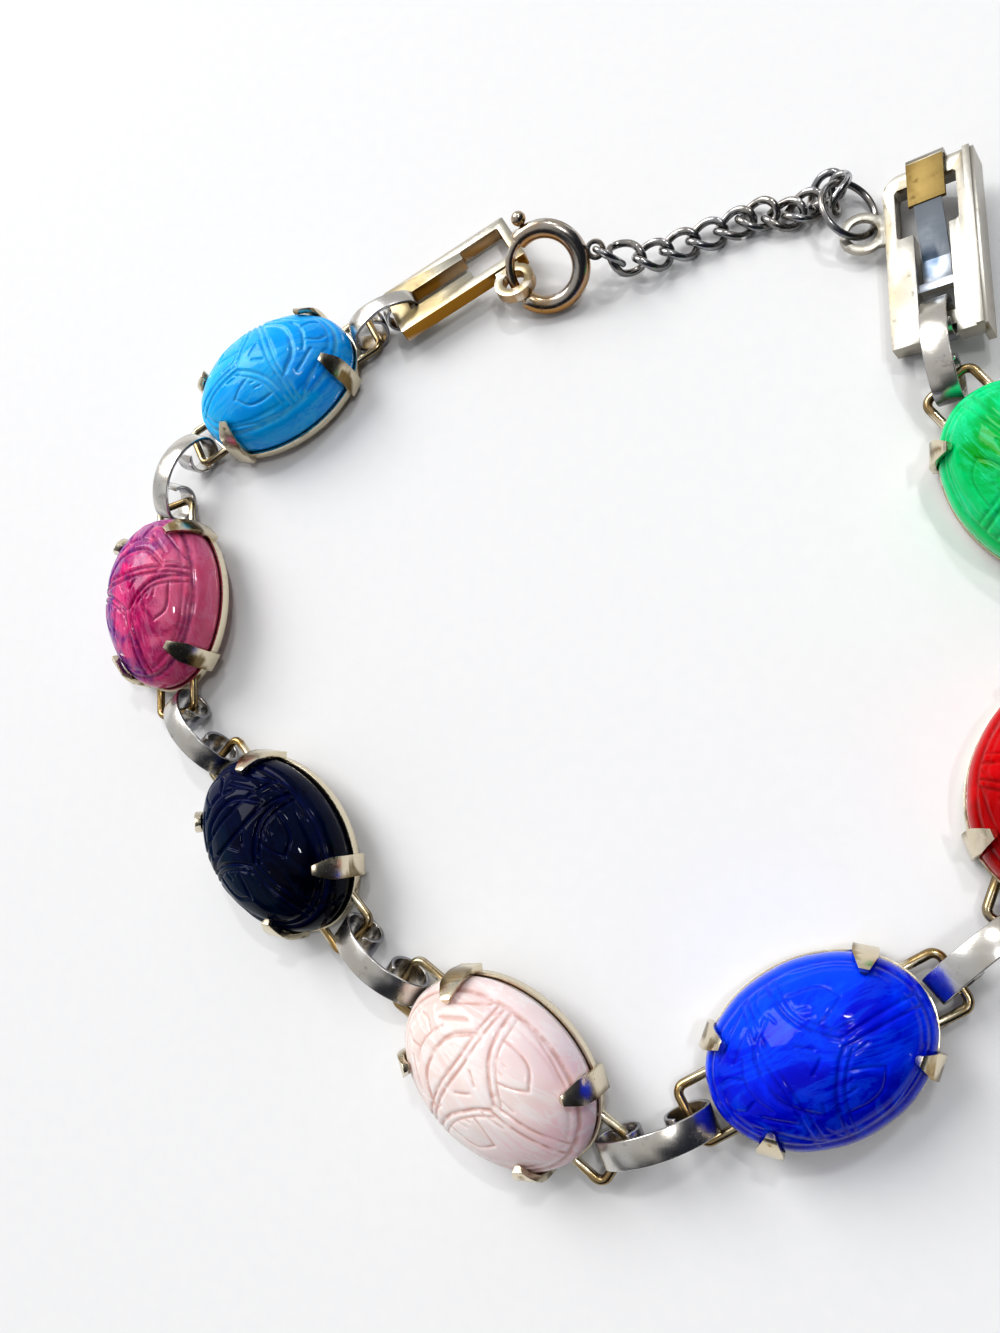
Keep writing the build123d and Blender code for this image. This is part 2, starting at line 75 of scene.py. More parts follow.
# Carving shared by all the stones, in mm, on one half and mirrored: the head is at -x
# line: (half_width, depth, points)
CARVED_LINES = {
    "wing_edge": (0.13, 0.24, [(-0.75, 4.5), (-0.3, 2.4), (0.55, 1.15), (1.55, 0.2)]),
    "wing_inner_edge": (0.10, 0.16, [(-0.2, 4.4), (0.15, 2.5), (0.95, 1.35), (1.9, 0.42)]),
    "leaf_outside": (0.09, 0.17, [(-0.1, 3.35), (1.2, 3.3), (2.2, 3.0), (2.85, 2.1)]),
    "leaf_inside": (0.09, 0.17, [(2.85, 2.1), (1.9, 1.65), (0.9, 1.35)]),
    "leaf_stroke_long": (0.08, 0.12, [(0.2, 2.45), (0.9, 2.35)]),
    "leaf_stroke_short": (0.08, 0.12, [(0.3, 2.0), (0.95, 1.85)]),
    "seam_stroke": (0.08, 0.14, [(1.2, 0.72), (1.9, 0.7), (2.7, 0.62)]),
    "shoulder_stroke": (0.09, 0.16, [(-1.3, 2.95), (-1.1, 2.4)]),
    "breast_stroke": (0.10, 0.18, [(-0.8, 0.85), (0.0, 0.3)]),
    "head_outline": (0.15, 0.26, [(-1.6, 2.8), (-2.5, 2.1), (-3.2, 1.2), (-3.45, 0.0)]),
    "brow": (0.11, 0.18, [(-3.9, 1.5), (-4.3, 0.8), (-4.45, 0.0)]),
    "horn": (0.10, 0.18, [(-4.4, 0.65), (-5.2, 0.95), (-5.7, 0.8)]),
    "cheek": (0.11, 0.16, [(-2.7, 2.9), (-3.8, 2.1), (-4.5, 1.6)]),
    "front_leg": (0.12, 0.18, [(-2.1, 4.25), (-3.1, 3.55), (-4.4, 2.6)]),
    "front_foot": (0.10, 0.14, [(-4.4, 2.6), (-5.3, 1.9)]),
    "middle_leg": (0.11, 0.14, [(-1.15, 4.4), (-1.7, 3.7), (-1.75, 3.1)]),
    "hind_leg": (0.11, 0.14, [(0.9, 4.45), (2.6, 4.05), (4.3, 3.2)]),
    "hind_foot": (0.10, 0.12, [(4.3, 3.2), (5.3, 2.2)]),
}
SEAM_HALF_GAP = 0.24
SEAM_START = 1.6
SEAM_END = 6.3
SEAM_HALF_WIDTH = 0.11
SEAM_DEPTH = 0.2
RIM_GROOVE_INSET = 0.5
RIM_GROOVE_HALF_WIDTH = 0.13
RIM_GROOVE_DEPTH = 0.2
RIM_LINE_INSET = 0.95
RIM_LINE_DEPTH = 0.09

# The double line across each stone, in mm along it: (front, back)
CROSS_LINES = {
    "light_blue": (-1.75, -1.3),
    "purple": (-1.5, -1.0),
    "black": (-2.5, -1.0),
    "pink": (-1.85, -1.4),
    "cobalt": (-2.77, -2.3),
    "red": (-2.4, -1.9),
    "green": (-2.2, -1.7),
}
# How boldly each stone is carved, as a share of the lines' depths
CARVING_STRENGTH = {
    "light_blue": 0.75,
    "purple": 0.9,
    "black": 1.0,
    "pink": 0.5,
    "cobalt": 0.45,
    "red": 0.5,
    "green": 0.6,
}
CROSS_REACH = 4.35
CROSS_HALF_WIDTH = 0.12
CROSS_DEPTH = 0.22
CROSS_BEND = (0.05, 0.2)
SEAM_SPREAD = 0.1

# Hand-cut unevenness, in mm: how far the lines wander along and across, and how far the dome sags
WANDER_ALONG = (0.07, 0.04)
WANDER_ACROSS = 0.05
SAG = 0.02


def placement(route):
    """Where a piece lies, from its (x, y, z, turn, climb, lean)."""
    x, y, z, turn, climb, lean = route
    place = (Vector((x, y, z)) - ROUTE_MIDDLE) * MM
    return (
        Matrix.Translation(place)
        @ Matrix.Rotation(radians(turn), 4, "Z")
        @ Matrix.Rotation(radians(-climb), 4, "Y")
        @ Matrix.Rotation(radians(lean), 4, "X")
    )


def smooth_path(points, steps=6):
    """A smooth run of points through the given ones."""
    ends = [2 * np.array(points[0]) - np.array(points[1])]
    ends += [np.array(point, dtype=float) for point in points]
    ends.append(2 * ends[-1] - ends[-2])
    run = []
    for a, b, c, d in zip(ends, ends[1:], ends[2:], ends[3:]):
        for step in range(steps):
            t = step / steps
            bend = (2 * a - 5 * b + 4 * c - d) * t**2 + (3 * b - a - 3 * c + d) * t**3
            run.append(0.5 * (2 * b + (c - a) * t + bend))
    run.append(ends[-2])
    return np.array(run)


def distance_to_path(spots, path):
    """How far each spot is from a run of points."""
    nearest = np.full(len(spots), 1e9)
    for start, end in zip(path, path[1:]):
        along = end - start
        share = np.clip((spots - start) @ along / max(along @ along, 1e-12), 0, 1)
        nearest = np.minimum(nearest, np.hypot(*(spots - start - share[:, None] * along).T))
    return nearest


def groove(distance, half_width, depth):
    """A cut with a rounded floor and soft shoulders."""
    return depth * np.exp(-((distance / half_width) ** 2))


def carved_depth(name, x, y):
    """How deep the carving goes at each spot of a stone, in mm."""
    wide, fine = WANDER_ALONG
    along = x + wide * np.sin(0.9 * y + len(name)) + fine * np.sin(2.1 * x + y)
    across = np.abs(y + WANDER_ACROSS * np.sin(1.1 * x + len(name)))
    spots = np.column_stack([along, across])
    depth = np.zeros(len(x))
    for half_width, line_depth, points in CARVED_LINES.values():
        away = distance_to_path(spots, smooth_path(points))
        depth = np.maximum(depth, groove(away, half_width, line_depth))
    for line_along in CROSS_LINES[name]:
        middle = (line_along + CROSS_BEND[0], CROSS_REACH / 2)
        end = (line_along + CROSS_BEND[1], CROSS_REACH)
        run = smooth_path([(line_along, 0), middle, end])
        depth = np.maximum(depth, groove(distance_to_path(spots, run), CROSS_HALF_WIDTH, CROSS_DEPTH))
    seam = smooth_path([(SEAM_START, SEAM_HALF_GAP), (SEAM_END, SEAM_HALF_GAP + SEAM_SPREAD)])
    depth = np.maximum(depth, groove(distance_to_path(spots, seam), SEAM_HALF_WIDTH, SEAM_DEPTH))
    reach = np.hypot(x / STONE_HALF_LENGTH, y / STONE_HALF_WIDTH)
    inset = (1 - reach) * np.hypot(x, y) / np.maximum(reach, 1e-6)
    depth = np.maximum(depth, groove(inset - RIM_GROOVE_INSET, RIM_GROOVE_HALF_WIDTH, RIM_GROOVE_DEPTH))
    depth = np.maximum(depth, groove(inset - RIM_LINE_INSET, RIM_GROOVE_HALF_WIDTH, RIM_LINE_DEPTH))
    return depth * CARVING_STRENGTH[name]


def new_piece(name, form, material, body, node):
    """Makes a mesh into a piece of the bracelet that rides on a body and stands for a CAD node."""
    mesh = bpy.data.meshes.new(name)
    form.to_mesh(mesh)
    form.free()
    mesh.polygons.foreach_set("use_smooth", [True] * len(mesh.polygons))
    piece = bpy.data.objects.new(name, mesh)
    bpy.context.scene.collection.objects.link(piece)
    mesh.materials.append(material)
    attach(piece, body)
    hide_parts(node)
    return piece


def carved_stone(name, material):
    """An oval cabochon, its dome carved as a scarab, its back flat with a bevelled edge."""
    form = bmesh.new()
    bmesh.ops.create_icosphere(form, subdivisions=STONE_FINENESS, radius=1.0)
    form.verts.ensure_lookup_table()
    ball = np.array([vert.co[:] for vert in form.verts])
    fall = np.arccos(np.clip(ball[:, 2], -1, 1)) / pi
    turn = np.arctan2(ball[:, 1], ball[:, 0])
    dome = np.minimum(fall / GIRDLE_SHARE, 1) * pi / 2
    bevel = np.clip((fall - GIRDLE_SHARE) / (BACK_EDGE_SHARE - GIRDLE_SHARE), 0, 1)
    back = np.clip((1 - fall) / (1 - BACK_EDGE_SHARE), 0, 1)
    half_length = (STONE_HALF_LENGTH - BACK_INSET * bevel) * back
    half_width = (STONE_HALF_WIDTH - BACK_INSET * bevel) * back
    x = half_length * np.sin(dome) * np.cos(turn)
    y = half_width * np.sin(dome) * np.sin(turn)
    z = GIRDLE_LEVEL + DOME_HEIGHT * np.cos(dome) - (GIRDLE_LEVEL - STONE_BOTTOM) * bevel
    on_dome = fall < GIRDLE_SHARE
    depth = np.where(on_dome, carved_depth(name, x, y), 0)
    slope = np.column_stack([x / STONE_HALF_LENGTH**2, y / STONE_HALF_WIDTH**2, np.cos(dome) / DOME_HEIGHT])
    slope /= np.linalg.norm(slope, axis=1)[:, None]
    sag = SAG * np.sin(1.7 * x + len(name)) * np.sin(2.3 * y) + SAG
    spots = np.column_stack([x, y, z]) - slope * np.where(on_dome, depth + sag, 0)[:, None]
    for vert, spot in zip(form.verts, spots):
        vert.co = spot * MM
    form.normal_update()
    form.transform(placement(STONE_ROUTE[name]))
    stone = new_piece(f"carved_stone_{name}", form, material, "bracelet", f"stone_{name}")
    carving = stone.data.attributes.new("carving", "FLOAT", "POINT")
    carving.data.foreach_set("value", np.clip(depth / CROSS_DEPTH / CARVING_STRENGTH[name], 0, 1))
    own_place = stone.data.attributes.new("own_place", "FLOAT_VECTOR", "POINT")
    own_place.data.foreach_set("vector", (np.column_stack([x, y, z]) / STONE_HALF_LENGTH).ravel())
    return stone


# Metal forms: a merged copy of a CAD piece with its sharp edges rounded
MERGE_DISTANCE = 3e-7
FLAT_ANGLE = radians(1.0)
SHARP_ANGLE = radians(33)
LONG_EDGE = 0.9 * MM


def rounded_metal(node, material, edge_round, body="bracelet", swell=0):
    """A CAD piece as metal: its edges rounded by edge_round and its faces moved out by swell, in mm."""
    form = bmesh.new()
    form.from_mesh(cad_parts[node].data)
    bmesh.ops.remove_doubles(form, verts=form.verts, dist=MERGE_DISTANCE)
    bmesh.ops.dissolve_limit(form, angle_limit=FLAT_ANGLE, verts=form.verts, edges=form.edges)
    if edge_round:
        shared = [edge for edge in form.edges if len(edge.link_faces) == 2]
        sharp = [edge for edge in shared if edge.calc_face_angle() > SHARP_ANGLE]
        bmesh.ops.bevel(
            form,
            geom=sharp,
            offset=edge_round * MM,
            offset_type="OFFSET",
            segments=2,
            profile=0.5,
            affect="EDGES",
            material=-1,
            clamp_overlap=True,
        )
    bmesh.ops.triangulate(form, faces=form.faces)
    long_edges = [edge for edge in form.edges if edge.calc_length() > LONG_EDGE]
    bmesh.ops.subdivide_edges(form, edges=long_edges, cuts=1)
    bmesh.ops.triangulate(form, faces=form.faces)
    form.normal_update()
    for vert in form.verts:
        vert.co += vert.normal * swell * MM
    return new_piece(f"{node}_metal", form, material, body, node)


# Clasp frame: where it lies, and its hook strip in its own mm, head end at +x
CLASP_ROUTE = (31.50, 25.93, 1.99, 88.0, -0.3, -21.1)
HOOK_TOP_LEVEL = 0.75
HOOK_HEAD = (3.2, 6.35)
HOOK_HEAD_SIDE = 1.3
HOOK_NECK = (-2.6, 3.2)
HOOK_NECK_SIDE = 0.93


def gild_hook(clasp, band, neck_blue_reflection):
    """The clasp's hook strip: its folded head band is matte gold, the strip's narrow part under it silver with
    a painted dark-blue reflection.
    """
    clasp.data.materials.append(band)
    clasp.data.materials.append(neck_blue_reflection)
    inward = placement(CLASP_ROUTE).inverted()
    for face in clasp.data.polygons:
        spot = inward @ face.center / MM
        if HOOK_HEAD[0] < spot.x < HOOK_HEAD[1] and abs(spot.y) < HOOK_HEAD_SIDE and spot.z > HOOK_TOP_LEVEL:
            face.material_index = 1
        elif HOOK_NECK[0] < spot.x < HOOK_NECK[1] and abs(spot.y) < HOOK_NECK_SIDE:
            face.material_index = 2


# Shader groups: each puts out values that vary over the surface
def shader_group(name, inputs, outputs):
    """A named node group with float or vector inputs and float outputs."""
    group = bpy.data.node_groups.new(name, "ShaderNodeTree")
    for label, value in inputs.items():
        kind = "NodeSocketVector" if value is None else "NodeSocketFloat"
        socket = group.interface.new_socket(label, in_out="INPUT", socket_type=kind)
        if value is not None:
            socket.default_value = value
    for label in outputs:
        group.interface.new_socket(label, in_out="OUTPUT", socket_type="NodeSocketFloat")
    nodes = group.nodes
    return group, nodes.new("NodeGroupInput"), nodes.new("NodeGroupOutput")


def joined(tree, source, target):
    tree.links.new(source, target)


def noise(tree, vector, scale, detail=4.0, roughness=0.55, distortion=0.0):
    node = tree.nodes.new("ShaderNodeTexNoise")
    joined(tree, vector, node.inputs["Vector"])
    if hasattr(scale, "links"):
        joined(tree, scale, node.inputs["Scale"])
    else:
        node.inputs["Scale"].default_value = scale
    node.inputs["Detail"].default_value = detail
    node.inputs["Roughness"].default_value = roughness
    node.inputs["Distortion"].default_value = distortion
    return node.outputs["Fac"]


def stepped(tree, value, low, high):
    """Maps a value smoothly from low..high to 0..1."""
    node = tree.nodes.new("ShaderNodeMapRange")
    node.interpolation_type = "SMOOTHSTEP"
    joined(tree, value, node.inputs["Value"])
    for label, bound in (("From Min", low), ("From Max", high)):
        if hasattr(bound, "links"):
            joined(tree, bound, node.inputs[label])
        else:
            node.inputs[label].default_value = bound
    return node.outputs["Result"]


def worked(tree, operation, first, second=None):
    """One step of arithmetic on numbers or sockets."""
    node = tree.nodes.new("ShaderNodeMath")
    node.operation = operation
    for socket, value in zip(node.inputs, (first, second)):
        if value is None:
            continue
        if hasattr(value, "links"):
            joined(tree, value, socket)
        else:
            socket.default_value = value
    return node.outputs["Value"]


def stretched(tree, vector, scale):
    """A place scaled differently along each axis, so that what is drawn on it is drawn out."""
    node = tree.nodes.new("ShaderNodeMapping")
    node.vector_type = "POINT"
    joined(tree, vector, node.inputs["Vector"])
    node.inputs["Scale"].default_value = scale
    return node.outputs["Vector"]


def glass_clouds_group():
    """Veils, mottling and fine strokes inside pressed glass."""
    group, given, put = shader_group(
        "glass_clouds",
        {"Place": None, "Cloud Scale": 2.0, "Veil Scale": 3.0},
        ("Cloud", "Veil", "Stroke", "Ripple"),
    )
    place = given.outputs["Place"]
    cloud = noise(group, place, given.outputs["Cloud Scale"], 5.0, 0.6, 0.7)
    joined(group, stepped(group, cloud, 0.36, 0.66), put.inputs["Cloud"])
    veil = noise(group, stretched(group, place, (0.5, 1.6, 1.0)), given.outputs["Veil Scale"], 6.0, 0.65, 1.3)
    ridge = worked(group, "ABSOLUTE", worked(group, "SUBTRACT", veil, 0.5))
    joined(group, stepped(group, ridge, 0.07, 0.0), put.inputs["Veil"])
    stroke = noise(group, stretched(group, place, (1.5, 14.0, 6.0)), 4.0, 3.0, 0.6, 0.2)
    joined(group, stepped(group, stroke, 0.6, 0.72), put.inputs["Stroke"])
    joined(group, noise(group, place, 9.0, 2.0), put.inputs["Ripple"])
    return group


def metal_wear_and_shade_group():
    """Tarnish in hollows, rubbed edges, gold showing in patches, fine scratches, and steep faces that carry
    painted shade and reflection on most finishes and the gold of the clasp's and spring ring's cut walls.
    """
    group, given, put = shader_group(
        "metal_wear_and_shade",
        {"Place": None, "Patch Size": 260.0, "Grain Size": 2400.0},
        ("Gilding", "Tarnish", "Rubbed", "Scratches", "Uneven", "Wall Tone And Shade"),
    )
    place = given.outputs["Place"]
    patch = noise(group, place, given.outputs["Patch Size"], 4.0, 0.6, 0.4)
    joined(group, stepped(group, patch, 0.38, 0.62), put.inputs["Gilding"])
    surface = group.nodes.new("ShaderNodeNewGeometry")
    point = surface.outputs["Pointiness"]
    facing = group.nodes.new("ShaderNodeSeparateXYZ")
    joined(group, surface.outputs["Normal"], facing.inputs["Vector"])
    # Steep faces, where the patches allow: painted shade and reflection on most finishes, gold on the clasp's
    # and spring ring's cut walls
    upright = stepped(group, worked(group, "ABSOLUTE", facing.outputs["Z"]), 0.7, 0.25)
    joined(group, worked(group, "MULTIPLY", upright, stepped(group, patch, 0.2, 0.5)), put.inputs["Wall Tone And Shade"])
    hollow = stepped(group, point, 0.5, 0.44)
    specks = stepped(group, noise(group, place, 900.0, 5.0, 0.7), 0.56, 0.72)
    joined(group, worked(group, "MAXIMUM", hollow, specks), put.inputs["Tarnish"])
    joined(group, stepped(group, point, 0.52, 0.6), put.inputs["Rubbed"])
    fine = noise(group, stretched(group, place, (1.0, 0.08, 0.3)), given.outputs["Grain Size"], 4.0, 0.7, 0.3)
    cross = noise(group, stretched(group, place, (0.07, 1.0, 0.4)), given.outputs["Grain Size"], 4.0, 0.7, 0.3)
    scratches = worked(group, "MULTIPLY", worked(group, "ADD", fine, cross), 0.5)
    joined(group, scratches, put.inputs["Scratches"])
    joined(group, noise(group, place, 700.0, 3.0, 0.5), put.inputs["Uneven"])
    return group


GLASS_CLOUDS = glass_clouds_group()
METAL_WEAR_AND_SHADE = metal_wear_and_shade_group()


def linear(*shades):
    """Screen shades 0-255 as linear light."""
    light = [(((s / 255) + 0.055) / 1.055) ** 2.4 if s > 10 else s / 255 / 12.92 for s in shades]
    return (*light, 1.0)


def blended(tree, share, first, second):
    """Mixes two colours by a share, each a colour or a socket."""
    node = tree.nodes.new("ShaderNodeMix")
    node.data_type = "RGBA"
    factor, start, end = node.inputs["Factor"], node.inputs[6], node.inputs[7]
    for socket, value in ((factor, share), (start, first), (end, second)):
        if hasattr(value, "links"):
            joined(tree, value, socket)
        else:
            socket.default_value = value
    return node.outputs[2]


def placed_group(tree, group, place, **values):
    """Places a shader group in a material with its own values."""
    node = tree.nodes.new("ShaderNodeGroup")
    node.node_tree = group
    joined(tree, place, node.inputs["Place"])
    for label, value in values.items():
        node.inputs[label.replace("_", " ")].default_value = value
    return node.outputs


def bumped(tree, shader, height, strength, depth):
    node = tree.nodes.new("ShaderNodeBump")
    node.inputs["Strength"].default_value = strength
    node.inputs["Distance"].default_value = depth
    joined(tree, height, node.inputs["Height"])
    joined(tree, node.outputs["Normal"], shader.inputs["Normal"])


def bare_material(name):
    material = bpy.data.materials.new(name)
    material.use_nodes = True
    tree = material.node_tree
    return material, tree, tree.nodes["Principled BSDF"]


# Glass colours, as screen shades. far_flank_painted_light is painted reflection and shade on the +y side and
# near_flank_painted_light on the -y side
# glass: deep, bright, veil, far_flank_painted_light, near_flank_painted_light, groove_light_and_shade, head
# (-x end), tail (+x end)
GLASS_SHADES = {
    "light_blue": (
        (0, 164, 255), (0, 196, 255), (120, 222, 255), (0, 150, 255),
        (20, 192, 255), (120, 222, 255), (0, 148, 255), (0, 194, 255),
    ),
    "purple": (
        (158, 0, 88), (240, 0, 126), (240, 170, 206), (226, 104, 140),
        (92, 26, 140), (104, 10, 96), (142, 70, 150), (224, 84, 140),
    ),
    "black": (
        (0, 2, 20), (0, 8, 50), (6, 40, 84), (0, 1, 8),
        (0, 48, 70), (0, 14, 74), (0, 10, 56), (0, 0, 4),
    ),
    "pink": (
        (250, 228, 224), (253, 240, 236), (255, 250, 248), (250, 218, 224),
        (252, 236, 232), (206, 160, 148), (226, 206, 198), (250, 206, 214),
    ),
    "cobalt": (
        (0, 8, 204), (0, 56, 255), (20, 100, 255), (0, 86, 255),
        (0, 0, 170), (0, 0, 140), (0, 30, 230), (0, 40, 240),
    ),
    "red": (
        (176, 0, 2), (224, 0, 2), (230, 60, 80), (168, 0, 8),
        (122, 0, 0), (90, 0, 0), (150, 0, 2), (200, 0, 4),
    ),
    "green": (
        (0, 156, 8), (0, 198, 50), (60, 240, 186), (0, 222, 140),
        (0, 160, 14), (0, 124, 30), (0, 172, 14), (0, 230, 160),
    ),
}
# Glass make-up: how much of each effect shows
# glass: (cloud_scale, veil_scale, veil, stroke, groove shade and highlight, flank_light_share, ends, milk,
# gloss_roughness, gleam)
GLASS_BUILD = {
    "light_blue": (1.6, 1.5, 0.22, 0.1, 0.5, 0.4, 0.5, 0.04, 0.06, 0.2),
    "purple": (3.2, 2.4, 0.2, 0.2, 0.6, 0.85, 0.6, 0.06, 0.07, 0.3),
    "black": (1.2, 2.0, 0.15, 0.0, 0.7, 0.3, 0.7, 0.0, 0.04, 0.1),
    "pink": (1.6, 1.8, 0.45, 0.2, 0.7, 0.4, 0.75, 0.35, 0.08, 0.35),
    "cobalt": (1.3, 1.6, 0.3, 0.08, 0.4, 0.6, 0.3, 0.03, 0.06, 0.17),
    "red": (1.5, 2.0, 0.08, 0.05, 0.5, 0.45, 0.5, 0.02, 0.06, 0.11),
    "green": (1.6, 1.6, 0.28, 0.4, 0.3, 0.6, 0.6, 0.03, 0.08, 0.2),
}
MILK_REACH = (0.0022, 0.0016, 0.0014)
GLASS_BUMP = 0.12
GLASS_BUMP_DEPTH = 0.1 * MM
GLASS_IOR = 1.5


def pressed_glass(name):
    """A stone's glass: mottled, veined, tinted at its ends, with painted reflection and shade on its flanks
    and painted shade and highlight in its carving.
    """
    shades = (linear(*shade) for shade in GLASS_SHADES[name])
    deep, bright, veil_shade, far_flank_painted_light, near_flank_painted_light, groove_light_and_shade, head, tail = shades
    cloud_scale, veil_scale, veil, stroke, carved, flank_light_share, ends, milk, gloss, gleam = GLASS_BUILD[name]
    material, tree, shader = bare_material(f"pressed_glass_{name}")
    own = tree.nodes.new("ShaderNodeAttribute")
    own.attribute_name = "own_place"
    cut = tree.nodes.new("ShaderNodeAttribute")
    cut.attribute_name = "carving"
    place = own.outputs["Vector"]
    clouds = placed_group(tree, GLASS_CLOUDS, place, Cloud_Scale=cloud_scale, Veil_Scale=veil_scale)
    split = tree.nodes.new("ShaderNodeSeparateXYZ")
    joined(tree, place, split.inputs["Vector"])
    drift = worked(tree, "MULTIPLY", worked(tree, "SUBTRACT", clouds["Cloud"], 0.5), 0.4)
    side = worked(tree, "ADD", split.outputs["Y"], drift)
    end = worked(tree, "ADD", split.outputs["X"], drift)
    colour = blended(tree, clouds["Cloud"], deep, bright)
    for share, strength, shade in (
        (stepped(tree, end, -0.1, -0.75), ends, head),
        (stepped(tree, end, 0.15, 0.8), ends, tail),
        # The two sides: painted reflection and shade, lighter on one side and darker on the other
        (stepped(tree, side, 0.05, 0.5), flank_light_share, far_flank_painted_light),
        (stepped(tree, side, 0.0, -0.45), flank_light_share, near_flank_painted_light),
        (clouds["Veil"], veil, veil_shade),
        (clouds["Stroke"], stroke, veil_shade),
    ):
        colour = blended(tree, worked(tree, "MULTIPLY", share, strength), colour, shade)
    # Carved lines: painted shade, and painted highlight in the light blue glass, broken up by the ripple; the
    # lines are rougher too
    lines = worked(tree, "MULTIPLY", stepped(tree, cut.outputs["Fac"], 0.15, 0.9), carved)
    broken = worked(tree, "MULTIPLY", lines, stepped(tree, clouds["Ripple"], 0.25, 0.6))
    colour = blended(tree, broken, colour, groove_light_and_shade)
    joined(tree, colour, shader.inputs["Base Color"])
    rough = worked(tree, "ADD", worked(tree, "MULTIPLY", broken, 0.2), gloss)
    joined(tree, rough, shader.inputs["Roughness"])
    shader.inputs["Metallic"].default_value = 0.0
    shader.inputs["IOR"].default_value = GLASS_IOR
    shader.inputs["Specular IOR Level"].default_value = gleam
    shader.inputs["Subsurface Weight"].default_value = milk
    shader.inputs["Subsurface Radius"].default_value = MILK_REACH
    shader.inputs["Subsurface Scale"].default_value = 1.0
    bumped(tree, shader, clouds["Ripple"], GLASS_BUMP, GLASS_BUMP_DEPTH)
    return material


# Metal finishes, as screen shades
# finish: plain, gilded, tarnish, rubbed, wall_tone_and_shade (steep faces: painted shade and reflection, gold
# on the clasp's and spring ring's cut walls)
METAL_SHADES = {
    "satin": ((214, 212, 208), (204, 188, 158), (74, 62, 66), (246, 245, 240), (58, 66, 92)),
    "gilt": ((166, 154, 128), (172, 138, 78), (52, 42, 28), (238, 228, 204), (84, 68, 38)),
    "champagne": ((178, 175, 162), (184, 162, 112), (88, 72, 48), (242, 238, 226), (150, 108, 40)),
    "clasp_plate": ((128, 126, 120), (132, 120, 90), (66, 56, 42), (206, 204, 196), (112, 88, 44)),
    "matte_gold": ((120, 102, 62), (100, 82, 46), (70, 54, 26), (180, 158, 104), (90, 66, 30)),
    # the hook's narrow part: silver, its blue tint a painted dark-blue reflection
    "neck_blue_reflection": ((104, 112, 124), (58, 80, 102), (20, 32, 44), (220, 226, 232), (34, 50, 66)),
    "dark": ((160, 160, 162), (170, 156, 130), (16, 20, 24), (238, 238, 240), (60, 64, 70)),
    "ring": ((186, 180, 172), (186, 146, 84), (42, 32, 22), (240, 238, 230), (168, 118, 48)),
}
# finish: (patch_size, grain_size, gilding, tarnish, rubbed, roughness, wall_tone_and_shade_share)
METAL_BUILD = {
    "satin": (240.0, 2600.0, 0.3, 0.5, 0.7, 0.14, 0.75),
    "gilt": (320.0, 2400.0, 0.75, 0.75, 0.8, 0.14, 0.7),
    "champagne": (130.0, 3000.0, 0.75, 0.4, 0.6, 0.2, 1.0),
    "clasp_plate": (160.0, 3000.0, 0.6, 0.5, 0.6, 0.24, 0.9),
    "matte_gold": (500.0, 3000.0, 0.6, 0.5, 0.3, 0.42, 0.5),
    "neck_blue_reflection": (260.0, 3000.0, 0.9, 0.6, 0.4, 0.2, 0.6),
    "dark": (420.0, 2400.0, 0.35, 0.75, 0.8, 0.1, 0.5),
    "ring": (260.0, 2400.0, 0.6, 0.55, 0.7, 0.12, 0.8),
}
METAL_BUMP = 0.35
METAL_BUMP_DEPTH = 0.06 * MM


def worn_and_shaded_metal(finish):
    """A plated metal: patches of gilding, tarnish in its hollows, rubbed edges and fine scratches, with
    painted shade and reflection on its steep faces and gold on the clasp's and spring ring's cut walls.
    """
    plain, gilded, tarnished, rubbed, wall_tone_and_shade = (linear(*shade) for shade in METAL_SHADES[finish])
    patch_size, grain_size, gilding, tarnish, rub, rough, wall_tone_and_shade_share = METAL_BUILD[finish]
    material, tree, shader = bare_material(f"worn_and_shaded_metal_{finish}")
    place = tree.nodes.new("ShaderNodeTexCoord").outputs["Object"]
    wear_and_shade = placed_group(tree, METAL_WEAR_AND_SHADE, place, Patch_Size=patch_size, Grain_Size=grain_size)
    colour = plain
    # Steep faces get painted shade and reflection on most finishes and the gold of cut walls on the clasp and
    # spring ring
    for share, strength, shade in (
        (wear_and_shade["Gilding"], gilding, gilded),
        (wear_and_shade["Wall Tone And Shade"], wall_tone_and_shade_share, wall_tone_and_shade),
        (wear_and_shade["Tarnish"], tarnish, tarnished),
        (wear_and_shade["Rubbed"], rub, rubbed),
    ):
        colour = blended(tree, worked(tree, "MULTIPLY", share, strength), colour, shade)
    joined(tree, colour, shader.inputs["Base Color"])
    dulled = worked(tree, "ADD", worked(tree, "MULTIPLY", wear_and_shade["Tarnish"], 0.2), rough)
    brushed = worked(tree, "MULTIPLY", wear_and_shade["Scratches"], 0.2)
    joined(tree, worked(tree, "ADD", dulled, brushed), shader.inputs["Roughness"])
    shader.inputs["Metallic"].default_value = 1.0
    relief = worked(tree, "ADD", worked(tree, "MULTIPLY", wear_and_shade["Scratches"], 0.5), wear_and_shade["Uneven"])
    bumped(tree, shader, relief, METAL_BUMP, METAL_BUMP_DEPTH)
    return material


METALS = {finish: worn_and_shaded_metal(finish) for finish in METAL_SHADES}

# Stones and their settings
SETTING_EDGE = 0.07
PLATE_EDGE = 0.06
RING_EDGE = 0.04
CHAIN_SWELL = 0.02
for stone_name in STONE_ROUTE:
    carved_stone(stone_name, pressed_glass(stone_name))
    rounded_metal(f"setting_{stone_name}", METALS["gilt"], SETTING_EDGE)

